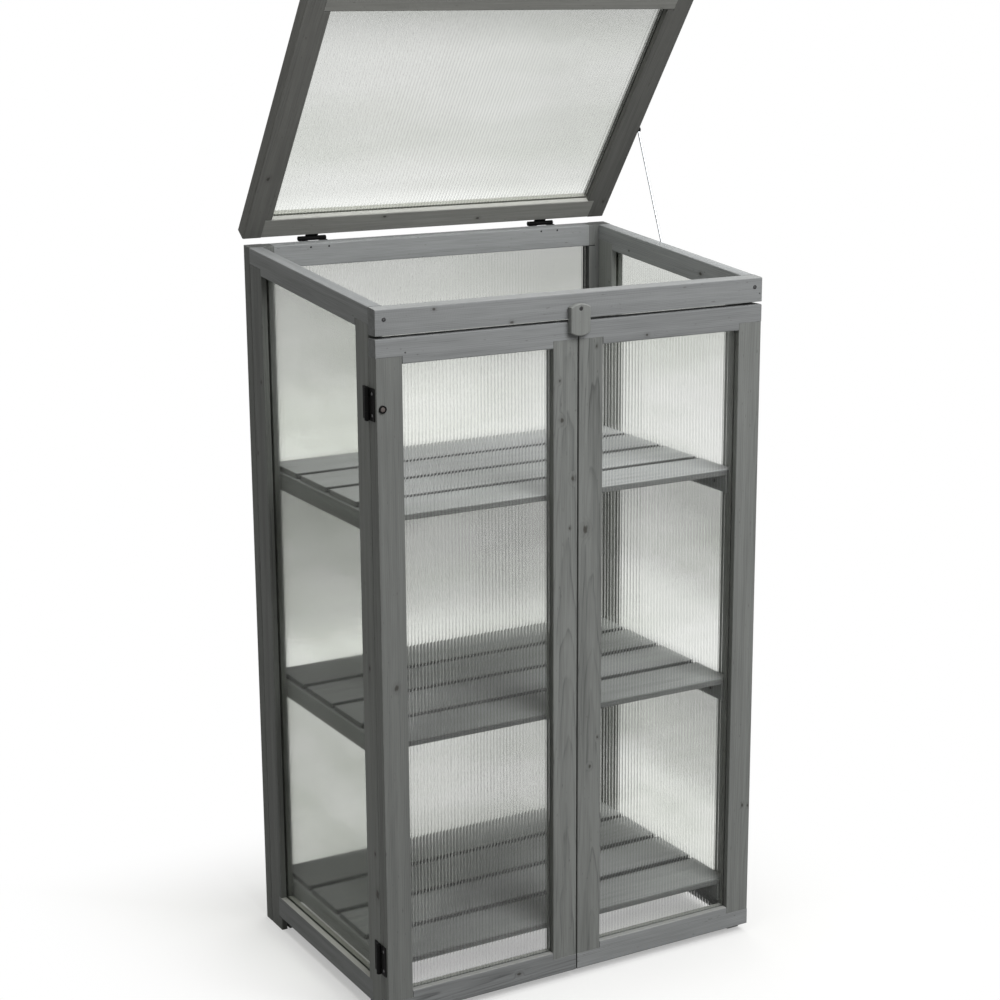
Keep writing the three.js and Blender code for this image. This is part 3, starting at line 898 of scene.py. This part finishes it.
channel = start("primitive_plane_add", "channel_end", size=1)
mode("EDIT")
bpy.ops.mesh.select_all(action="SELECT")
bpy.ops.transform.resize(value=(channel_width, channel_depth, 1))
bpy.ops.mesh.bevel(offset=channel_corner, segments=3, affect="VERTICES")
bpy.ops.mesh.delete(type="ONLY_FACE")
pick_points(channel, lambda spot: abs(abs(spot.y) - channel_depth / 2) < hair)
bpy.ops.mesh.select_mode(type="EDGE")
bpy.ops.mesh.subdivide(number_cuts=2 * belly_steps - 1)
for step in range(belly_steps):
    column = flat_half * step / belly_steps
    pick_points(channel, lambda spot: abs(abs(spot.x) - column) < hair)
    bpy.ops.transform.resize(value=(1, 1 + belly * (1 - (column / flat_half) ** 2), 1))
bpy.ops.mesh.select_all(action="DESELECT")
bpy.ops.mesh.primitive_plane_add(size=1)
bpy.ops.transform.resize(value=(flute_pitch, sheet_thickness, 1))
bpy.ops.mesh.delete(type="ONLY_FACE")
bpy.ops.mesh.select_all(action="SELECT")
bpy.ops.mesh.bridge_edge_loops()
mode("OBJECT")
ring_area = sum(face.area for face in channel.data.polygons)
print("Channel end:", len(channel.data.polygons), "faces,", round(ring_area / mm ** 2, 2), "mm2")


# %% One sheet
def box_in(name, place):
    """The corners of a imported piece, and its points, measured in a turned frame."""
    back_turn = place.inverted()
    points = [back_turn @ point.co for point in frame["nodes"][name].data.vertices]
    return Vector(map(min, zip(*points))), Vector(map(max, zip(*points))), points


def make_sheet(name, node, body, look, place=Matrix.Identity(4)):
    """A fluted sheet in the space of a packed pane. In its own frame, flutes run along Z."""
    low, high, points = box_in(node, place)
    across = high.x - low.x
    count = round(across / flute_pitch)
    pitch = across / count
    sheet = twin(channel, name)
    sheet.scale.x = pitch / flute_pitch
    sheet.location = (low.x + pitch / 2, (low.y + high.y) / 2, low.z)
    settle(sheet)
    row = sheet.modifiers.new("row", "ARRAY")
    row.count = count
    row.use_relative_offset = False
    row.use_constant_offset = True
    row.constant_offset_displace = (pitch, 0, 0)
    row.use_merge_vertices = True
    row.merge_threshold = hair
    bpy.ops.object.modifier_apply(modifier=row.name)
    mode("EDIT")
    bpy.ops.mesh.select_all(action="SELECT")
    bpy.ops.mesh.extrude_region_move(TRANSFORM_OT_translate={"value": (0, 0, high.z - low.z)})
    bpy.ops.mesh.select_all(action="SELECT")
    bpy.ops.mesh.normals_make_consistent(inside=False)
    mode("OBJECT")
    top_left = max(point.z for point in points if point.x < low.x + mm)
    top_right = max(point.z for point in points if point.x > high.x - mm)
    for point in sheet.data.vertices:
        if point.co.z > (low.z + high.z) / 2:
            share = (point.co.x - low.x) / across
            point.co.z = top_left + (top_right - top_left) * share
    sheet.matrix_world = place
    settle(sheet)
    smooth(sheet, 35)
    sheet.data.materials.append(sheet_plastic(name, place.to_3x3() @ back, **look))
    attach(sheet, body)
    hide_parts(node)
    print(name, "has", count, "flutes of", round(pitch / mm, 2), "mm")


# %% [markdown]
# The plastic is clear with a faint grey-green cast, slightly cloudy from haze and dust. It lets light
# through to the shelves, which a ray tracer finds hard through glass, so light and shadow rays meet
# a plain see-through surface instead. The looking rays meet the real plastic and bend in its flutes.
#
# Cloudy plastic looks darker where less light falls on it, as under a shelf, and here that shade is painted
# into its colour: each sheet has a row of painted shade tints from low to high, each at its own height, which
# a colour ramp blends. The rear sheet and the lid are also painted a little darker towards the right. The
# ribs stay clear, or every flute would get a hard dark line. Only the round corners between wall and rib get
# a painted shade, and that draws the fine lines of the flutes.

# %% Material of the sheets
grey_green = (0.993, 1.0, 0.984)
clear = (1.0, 1.0, 1.0)
light_cast = (0.97, 0.975, 0.965, 1)
cloud_stretch = (2.0, 2.0, 8.0)
cloud_cast = (0.9, 0.91, 0.89, 1)
ramp_top = 1.65
plastic_settings = {"Roughness": 0.02, "Transmission Weight": 0.995}


def sheet_plastic(name, thickness_way, shade_tints, hue=clear, bending=1.14, corner_shade=0.62, right_shade=1.0):
    """Clear fluted plastic with painted shade by height, towards the right and on its channel corners. Each
    shade tint is a height in metres and a tone.
    """
    material, tree, surface = new_material(f"{name}_plastic")
    coordinates = add_node(tree, "TexCoord").outputs
    spot = coordinates["Object"]
    # The ramp paints shade by height, darker under the shelves.
    ramp = add_node(tree, "ValToRGB", {"Fac": sums("DIVIDE", split(spot)[2], ramp_top)})
    ramp.color_ramp.interpolation = "EASE"
    stops = ramp.color_ramp.elements
    while len(stops) < len(shade_tints):
        stops.new(0.5)
    for stop, (level, tone) in zip(stops, shade_tints):
        stop.position = level / ramp_top
        stop.color = shaded(hue, tone)
    clouds = ease(noise(vectors("MULTIPLY", spot, cloud_stretch), 1.0, 3.0), 0.35, 0.7, 0.0, 0.6)
    cast = mix_colours(clouds, ramp.outputs[0], cloud_cast, "MULTIPLY")
    # Painted shade: the sheet is darker towards the right.
    rightwards = ease(split(spot)[0], 0.0, 0.25)
    cast = mix_colours(rightwards, cast, shaded(clear, right_shade), "MULTIPLY")
    facing = vectors("DOT_PRODUCT", coordinates["Normal"], tuple(thickness_way))
    squareness = sums("ABSOLUTE", facing)
    cast = mix_colours(ease(squareness, 0.3, 0.9), full_white, cast)
    # Painted shade on the round corners of the channels, which draws the flute lines.
    on_corner = times(ease(squareness, 0.9, 0.99, 1.0, 0.0), ease(squareness, 0.05, 0.3))
    cast = mix_colours(on_corner, cast, shaded(clear, corner_shade))
    plastic = add_node(tree, "BsdfPrincipled", {"Base Color": cast, "IOR": bending, **plastic_settings})
    see_through = add_node(tree, "BsdfTransparent", {"Color": light_cast})
    path = add_node(tree, "LightPath").outputs
    carries_light = larger(path["Is Shadow Ray"], path["Is Diffuse Ray"])
    mix = add_node(tree, "MixShader", {0: carries_light, 1: plastic.outputs[0], 2: see_through.outputs[0]})
    feed(surface, mix.outputs[0])
    return material


# %% The six sheets
quarter = math.pi / 2
sideways = Matrix.Rotation(quarter, 4, "Z")
on_lid = lid_frame @ Matrix.Rotation(quarter, 4, "X")
# Painted shade by height for each sheet.
rear_shade_tints = [
    (0.10, 0.80), (0.42, 0.75), (0.475, 0.92), (0.56, 0.74), (0.65, 0.65), (0.80, 0.55),
    (0.84, 1.0), (0.90, 0.97), (1.0, 0.84), (1.17, 0.75),
]
left_shade_tints = [(0.10, 0.93), (0.45, 0.93), (0.62, 0.94), (0.80, 0.9), (0.84, 0.9), (1.15, 0.84)]
right_shade_tints = [
    (0.10, 0.93), (0.18, 0.9), (0.28, 0.76), (0.42, 0.64), (0.475, 0.93), (0.54, 0.9),
    (0.63, 0.77), (0.77, 0.64), (0.84, 0.9), (0.95, 0.87), (1.15, 0.8),
]
door_shade_tints = [(0.10, 1.0), (1.10, 1.0)]
lid_shade_tints = [(1.21, 1.0), (1.25, 0.99), (1.29, 0.9), (1.40, 0.86), (1.50, 0.85), (1.60, 0.72)]
rear_look = {"shade_tints": rear_shade_tints, "hue": grey_green, "right_shade": 0.92}
side_look = {"hue": grey_green, "bending": 1.03, "corner_shade": 0.95}
side_looks = {"left": {"shade_tints": left_shade_tints, **side_look}, "right": {"shade_tints": right_shade_tints, **side_look}}
door_looks = {
    "left": {"shade_tints": door_shade_tints},
    "right": {"shade_tints": door_shade_tints, "bending": 1.04, "corner_shade": 0.5},
}
lid_look = {"shade_tints": lid_shade_tints, "hue": grey_green, "right_shade": 0.97}
make_sheet("rear_sheet", "rear_pane", "carcass", rear_look)
for side in sides:
    make_sheet(f"{side}_sheet", f"{side}_pane", "carcass", side_looks[side], sideways)
    make_sheet(f"{side}_door_sheet", f"{side}_door_pane", f"door_{side}", door_looks[side])
make_sheet("lid_sheet", "lid_pane", "lid", lid_look, on_lid)
bpy.data.objects.remove(channel)

# %% [markdown]
# ## Screws
#
# A countersunk screw is a flat head with a cone under it and a cross cut into it. One is modelled by
# hand: a short cylinder, whose top is inset twice into a shallow dome and whose bottom is drawn in to
# a cone and a shank. Two tapered blades cut the cross. All other screws are copies of it.

# %% One countersunk screw
head_radius, head_height = 3.4 * mm, 0.5 * mm
shank_radius, shank_length = 1.5 * mm, 9 * mm
cone_height = 1.9 * mm
blade_sizes, blade_height, blade_tip = (3.9 * mm, 0.95 * mm, 1.3 * mm), 0.4 * mm, 0.6
screw = start("primitive_cylinder_add", "screw", vertices=24, radius=head_radius, depth=head_height)
inset(screw, up, (0.35, 0.22), (1.1, 0.14))
mode("EDIT")
pick_faces(screw, -up)
bpy.ops.mesh.inset(thickness=head_radius - shank_radius, depth=cone_height)
bpy.ops.mesh.extrude_region_move(TRANSFORM_OT_translate={"value": (0, 0, -shank_length)})
mode("OBJECT")
for turn in (0, quarter):
    blade = start("primitive_cube_add", "blade", size=1, location=(0, 0, blade_height), rotation=(0, 0, turn))
    blade.scale = blade_sizes
    settle(blade)
    mode("EDIT")
    pick_faces(blade, -up)
    bpy.ops.transform.resize(value=(blade_tip, blade_tip, 1))
    mode("OBJECT")
    carve(screw, blade)
smooth(screw, 30)
print("Screw:", len(screw.data.polygons), "faces")


# %% Copies of a small piece, joined into one piece
def copies(master, name, body, material, spots, scale=1.0):
    """Copies of a master piece at places, each facing outwards and given a turn, as one mesh."""
    made = []
    for place, outwards, turn in spots:
        copy = twin(master, name)
        spin = Matrix.Rotation(turn, 4, "Z") @ Matrix.Scale(scale, 4)
        copy.data.transform(stand(place, outwards) @ spin)
        made.append(copy)
    take(made[0])
    for copy in made:
        copy.select_set(True)
    if len(made) > 1:
        bpy.ops.object.join()
    piece = bpy.context.view_layer.objects.active
    piece.name = name
    piece.data.materials.clear()
    piece.data.materials.append(material)
    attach(piece, body)


# %% [markdown]
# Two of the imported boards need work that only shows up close, so each is copied, reworked and put in
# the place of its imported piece. The turn button gets a countersink, in which its screw sits flush.
# The front rail's lower edges are planed crisp, which closes the view through the gap above the doors.

# %% Reworked boards
head_sunk = 0.7 * mm
sink_rim = 3.9 * mm
crisp_share = 0.3
packed_corner = 2.5 * mm


def rework(node, name, body):
    """A copy of a packed board, with its points merged, that takes the board's place."""
    board_copy = twin(frame["nodes"][node], name)
    take(board_copy)
    mode("EDIT")
    bpy.ops.mesh.select_all(action="SELECT")
    bpy.ops.mesh.remove_doubles(threshold=hair)
    mode("OBJECT")
    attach(board_copy, body)
    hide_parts(node)
    return board_copy


crisp_rail = rework("front_rail", "front_rail_planed", "carcass")
rail_low, rail_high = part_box("front_rail")
mode("EDIT")
for edge_y in (rail_low.y, rail_high.y):
    corner = Vector((0, edge_y, rail_low.z))
    pick_points(crisp_rail, lambda spot: (Vector((0, spot.y, spot.z)) - corner).length < packed_corner)
    bpy.ops.transform.resize(value=(1, crisp_share, crisp_share), center_override=corner)
mode("OBJECT")

sunk_button = rework("turn_button", "turn_button_countersunk", "turn_button")
button_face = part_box("turn_button")[0].y
pivot = Vector(joints["turn_button_pivot"]["pos_m"])
sink = start(
    "primitive_cone_add", "sink", vertices=32, radius1=2 * sink_rim, radius2=0, depth=2 * sink_rim,
    location=(pivot.x, button_face, pivot.z), rotation=(-quarter, 0, 0),
)
settle(sink)
carve(sunk_button, sink)
print("Reworked:", crisp_rail.name, "and", sunk_button.name, "with", len(sunk_button.data.polygons), "faces")

# %% [markdown]
# Screws go where the object shows them: two through the front rail into the posts, one through the
# turn button, and two in every hinge leaf. The tips of the lid hinges' long screws come through the
# rear rail, a nail and a brad show in front, and the shelves' bearers are screwed on from inside.

# %% Screws in the wood
proud = 0.1 * mm
rail_screw_aside, rail_screw_height = 335.5 * mm, 1140 * mm
rail_screws = [
    (Vector((sign * rail_screw_aside, front - proud, rail_screw_height)), -back, turn)
    for sign, turn in ((-1, 0.4), (1, 1.1))
]
copies(screw, "front_rail_screws", "carcass", screw_steel, rail_screws)

button_spot = Vector((pivot.x, button_face + head_sunk, pivot.z))
copies(screw, "turn_button_screw", "carcass", screw_steel, [(button_spot, -back, 0.7)])

tip = start("primitive_cone_add", "tip", vertices=16, radius1=2.3 * mm, radius2=1.0 * mm, depth=1.2 * mm)
inset(tip, up, (0.25, 0.3))
lid_hinge_aside = 222.5 * mm
leaf_screw_along = 16.5 * mm
tips = [
    (Vector((sign * lid_hinge_aside + aside, depth / 2 - board, height)), -back, 0)
    for sign, height in ((-1, 1191 * mm), (1, 1191.5 * mm))
    for aside in (-leaf_screw_along, leaf_screw_along)
]
copies(tip, "rear_rail_screw_tips", "carcass", hinge_paint, tips)

nail_scale = 0.7
nails = {
    "front_rail_nail": ("carcass", (345.5 * mm, front - proud, 1129 * mm)),
    "left_door_brad": ("door_left", (-301 * mm, front - proud, 1088 * mm)),
}
for name, (body, spot) in nails.items():
    copies(tip, name, body, screw_steel, [(Vector(spot), -back, 0)], nail_scale)

bearer_screw_inset = 34 * mm
turn_per_metre = 9
for tier in tiers:
    for side, inwards in (("left", right), ("right", -right)):
        low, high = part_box(f"{tier}_bearer_{side}")
        face = high.x if side == "left" else low.x
        middle = (low.z + high.z) / 2
        spots = [
            (Vector((face, y, middle)) + inwards * proud, inwards, y * turn_per_metre)
            for y in (low.y + bearer_screw_inset, high.y - bearer_screw_inset)
        ]
        copies(screw, f"{tier}_bearer_{side}_screws", "carcass", screw_steel, spots)
print("Screws in the wood are placed")

# %% Screws and pin ends of the hinges
hinge_screw_scale = 0.72
leaf_screw_out = 12 * mm
leaf_gap, leaf_thickness, screw_sunk = 0.3 * mm, 1.5 * mm, 0.1 * mm
leaf_face_out = leaf_gap + leaf_thickness - screw_sunk
pin_end_lift = 0.4 * mm
rivet = start("primitive_cylinder_add", "rivet", vertices=20, radius=2.5 * mm, depth=0.8 * mm)
inset(rivet, up, (0.5, 0.3), (0.9, 0.2))
smooth(rivet, 50)


def leaf_screws(leaf, body, middle, outwards, away, along):
    """Two screws through one hinge leaf: away from the pin, on either side of its middle."""
    spots = [
        (middle + away * leaf_screw_out + along * (sign * leaf_screw_along), outwards, 0.5 + sign)
        for sign in (-1, 1)
    ]
    name = leaf.replace("_leaf", "_screws")
    copies(screw, name, body, hinge_screw_steel, spots, hinge_screw_scale)


def pin_ends(hinge, low_end, high_end, along):
    """Two rivet heads that close the ends of a hinge's pin."""
    lift = along * pin_end_lift
    ends = [(Vector(low_end) - lift, -along, 0), (Vector(high_end) + lift, along, 0)]
    copies(rivet, f"{hinge}_pin_ends", "carcass", hinge_paint, ends)


for side, sign in (("left", -1), ("right", 1)):
    pin = Vector(joints[f"door_{side}_hinge"]["pos_m"])
    out = right * sign
    for level in levels:
        hinge = f"{side}_{level}_hinge"
        low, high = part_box(f"{hinge}_post_leaf")
        middle = Vector((sign * (width / 2 + leaf_face_out), pin.y, (low.z + high.z) / 2))
        leaf_screws(f"{hinge}_post_leaf", "carcass", middle, out, back, up)
        leaf_screws(f"{hinge}_door_leaf", f"door_{side}", middle, out, -back, up)
        pin_ends(hinge, (pin.x, pin.y, low.z), (pin.x, pin.y, high.z), up)

lid_pin = Vector(joints["lid_hinge"]["pos_m"])
lid_rear_edge = box_in("lid_left_stile", lid_frame)[1].y
for side in sides:
    hinge = f"lid_{side}_hinge"
    low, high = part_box(f"{hinge}_frame_leaf")
    middle_x = (low.x + high.x) / 2
    frame_middle = Vector((middle_x, depth / 2 + leaf_face_out, lid_pin.z))
    leaf_screws(f"{hinge}_frame_leaf", "carcass", frame_middle, back, -up, right)
    lid_middle = lid_frame @ Vector((middle_x, lid_rear_edge + leaf_face_out, 0))
    leaf_screws(f"{hinge}_lid_leaf", "lid", lid_middle, lid_turn @ back, lid_turn @ up, right)
    pin_ends(hinge, (low.x, lid_pin.y, lid_pin.z), (high.x, lid_pin.y, lid_pin.z), right)
print("Hinge screws and pin ends are placed")

# %% [markdown]
# ## Stud and stay fittings
#
# A small black stud with a dull middle sits on the left door, beside the upper hinge. The stay turns
# on a pan-headed screw at its foot. Its upper end is turned in and capped in black plastic, and meets
# a black grommet in the lid's edge. The round parts are cylinders and a ring, shaped by insets.

# %% Stud on the left door
stud_radius, stud_height = 6 * mm, 2.4 * mm
stud_spot = Vector((-340.4 * mm, front - stud_height / 2, 1006 * mm))
middle_radius = 3.6 * mm
stud = start(
    "primitive_cylinder_add", "left_door_stud", vertices=32, radius=stud_radius, depth=stud_height,
    location=stud_spot, rotation=(quarter, 0, 0),
)
settle(stud)
inset(stud, -back, (0.7, 0.5), (1.2, 0), (0.3, -1.0), (1.5, 0.5))
smooth(stud, 40)
rubber = (0.085, 0.07, 0.066, 1)
stud.data.materials.append(hinge_paint)
stud.data.materials.append(metal_material("dusty_rubber", rubber, 0.0, (0.45, 0.65), gloss=0.4))
for face in stud.data.polygons:
    off_axis = math.hypot(face.center.x - stud_spot.x, face.center.z - stud_spot.z)
    if face.normal.y < -0.2 and off_axis < middle_radius:
        face.material_index = 1
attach(stud, "door_left")
print("Stud's middle has", sum(face.material_index for face in stud.data.polygons), "faces")

# %% Foot screw of the stay
stay_pivot = Vector(joints["stay_pivot"]["pos_m"])
stay_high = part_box("stay")[1]
foot_lift = 0.5 * mm
foot_screw = start("primitive_cylinder_add", "stay_foot_screw", vertices=24, radius=3.6 * mm, depth=0.9 * mm)
inset(foot_screw, up, (0.5, 0.4), (1.6, 0.2), (0.2, -0.5))
foot_screw.data.transform(stand((stay_high.x + foot_lift, stay_pivot.y, stay_pivot.z), right))
smooth(foot_screw, 40)
foot_screw.data.materials.append(screw_steel)
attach(foot_screw, "carcass")
print("Stay's foot screw stands at x =", round(max(point.co.x for point in foot_screw.data.vertices), 4))

# %% Grommet and cap at the stay's upper end
grip_from_front, grip_depth = 195 * mm, 7 * mm
grommet_out, grommet_flatness = 0.6 * mm, 0.5
lid_low, lid_high, _ = box_in("lid_right_stile", lid_frame)
grip = lid_frame @ Vector((width / 2 + grommet_out, lid_high.y - grip_from_front, lid_low.z + grip_depth))
grommet = start(
    "primitive_torus_add", "stay_grommet", major_segments=28, minor_segments=10,
    major_radius=4.2 * mm, minor_radius=1.5 * mm,
)
mode("EDIT")
bpy.ops.mesh.select_all(action="SELECT")
bpy.ops.transform.resize(value=(1, 1, grommet_flatness))
mode("OBJECT")
grommet.data.transform(stand(grip, right))
smooth(grommet, 60)
grommet.data.materials.append(hinge_paint)
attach(grommet, "lid")

cap_from, cap_to = width / 2 + 0.45 * mm, width / 2 + 6.4 * mm
cap = start("primitive_cylinder_add", "stay_cap", vertices=28, radius=4.6 * mm, depth=cap_to - cap_from)
inset(cap, up, (0.5, 0.5), (1.0, 0.5), (1.2, 0.2))
cap.data.transform(stand(((cap_from + cap_to) / 2, grip.y, grip.z), right))
smooth(cap, 50)
cap.data.materials.append(hinge_paint)
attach(cap, "stay")
for master in (screw, rivet, tip):
    bpy.data.objects.remove(master)
print("Stay's cap is", round((cap_to - cap_from) / mm, 2), "mm long without its dome")

# %% [markdown]
# ## Sizes, and the end
#
# The dressed greenhouse must be exactly as large as the imported one. Its box is measured here.

# %% The dressed greenhouse's box
low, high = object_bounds()
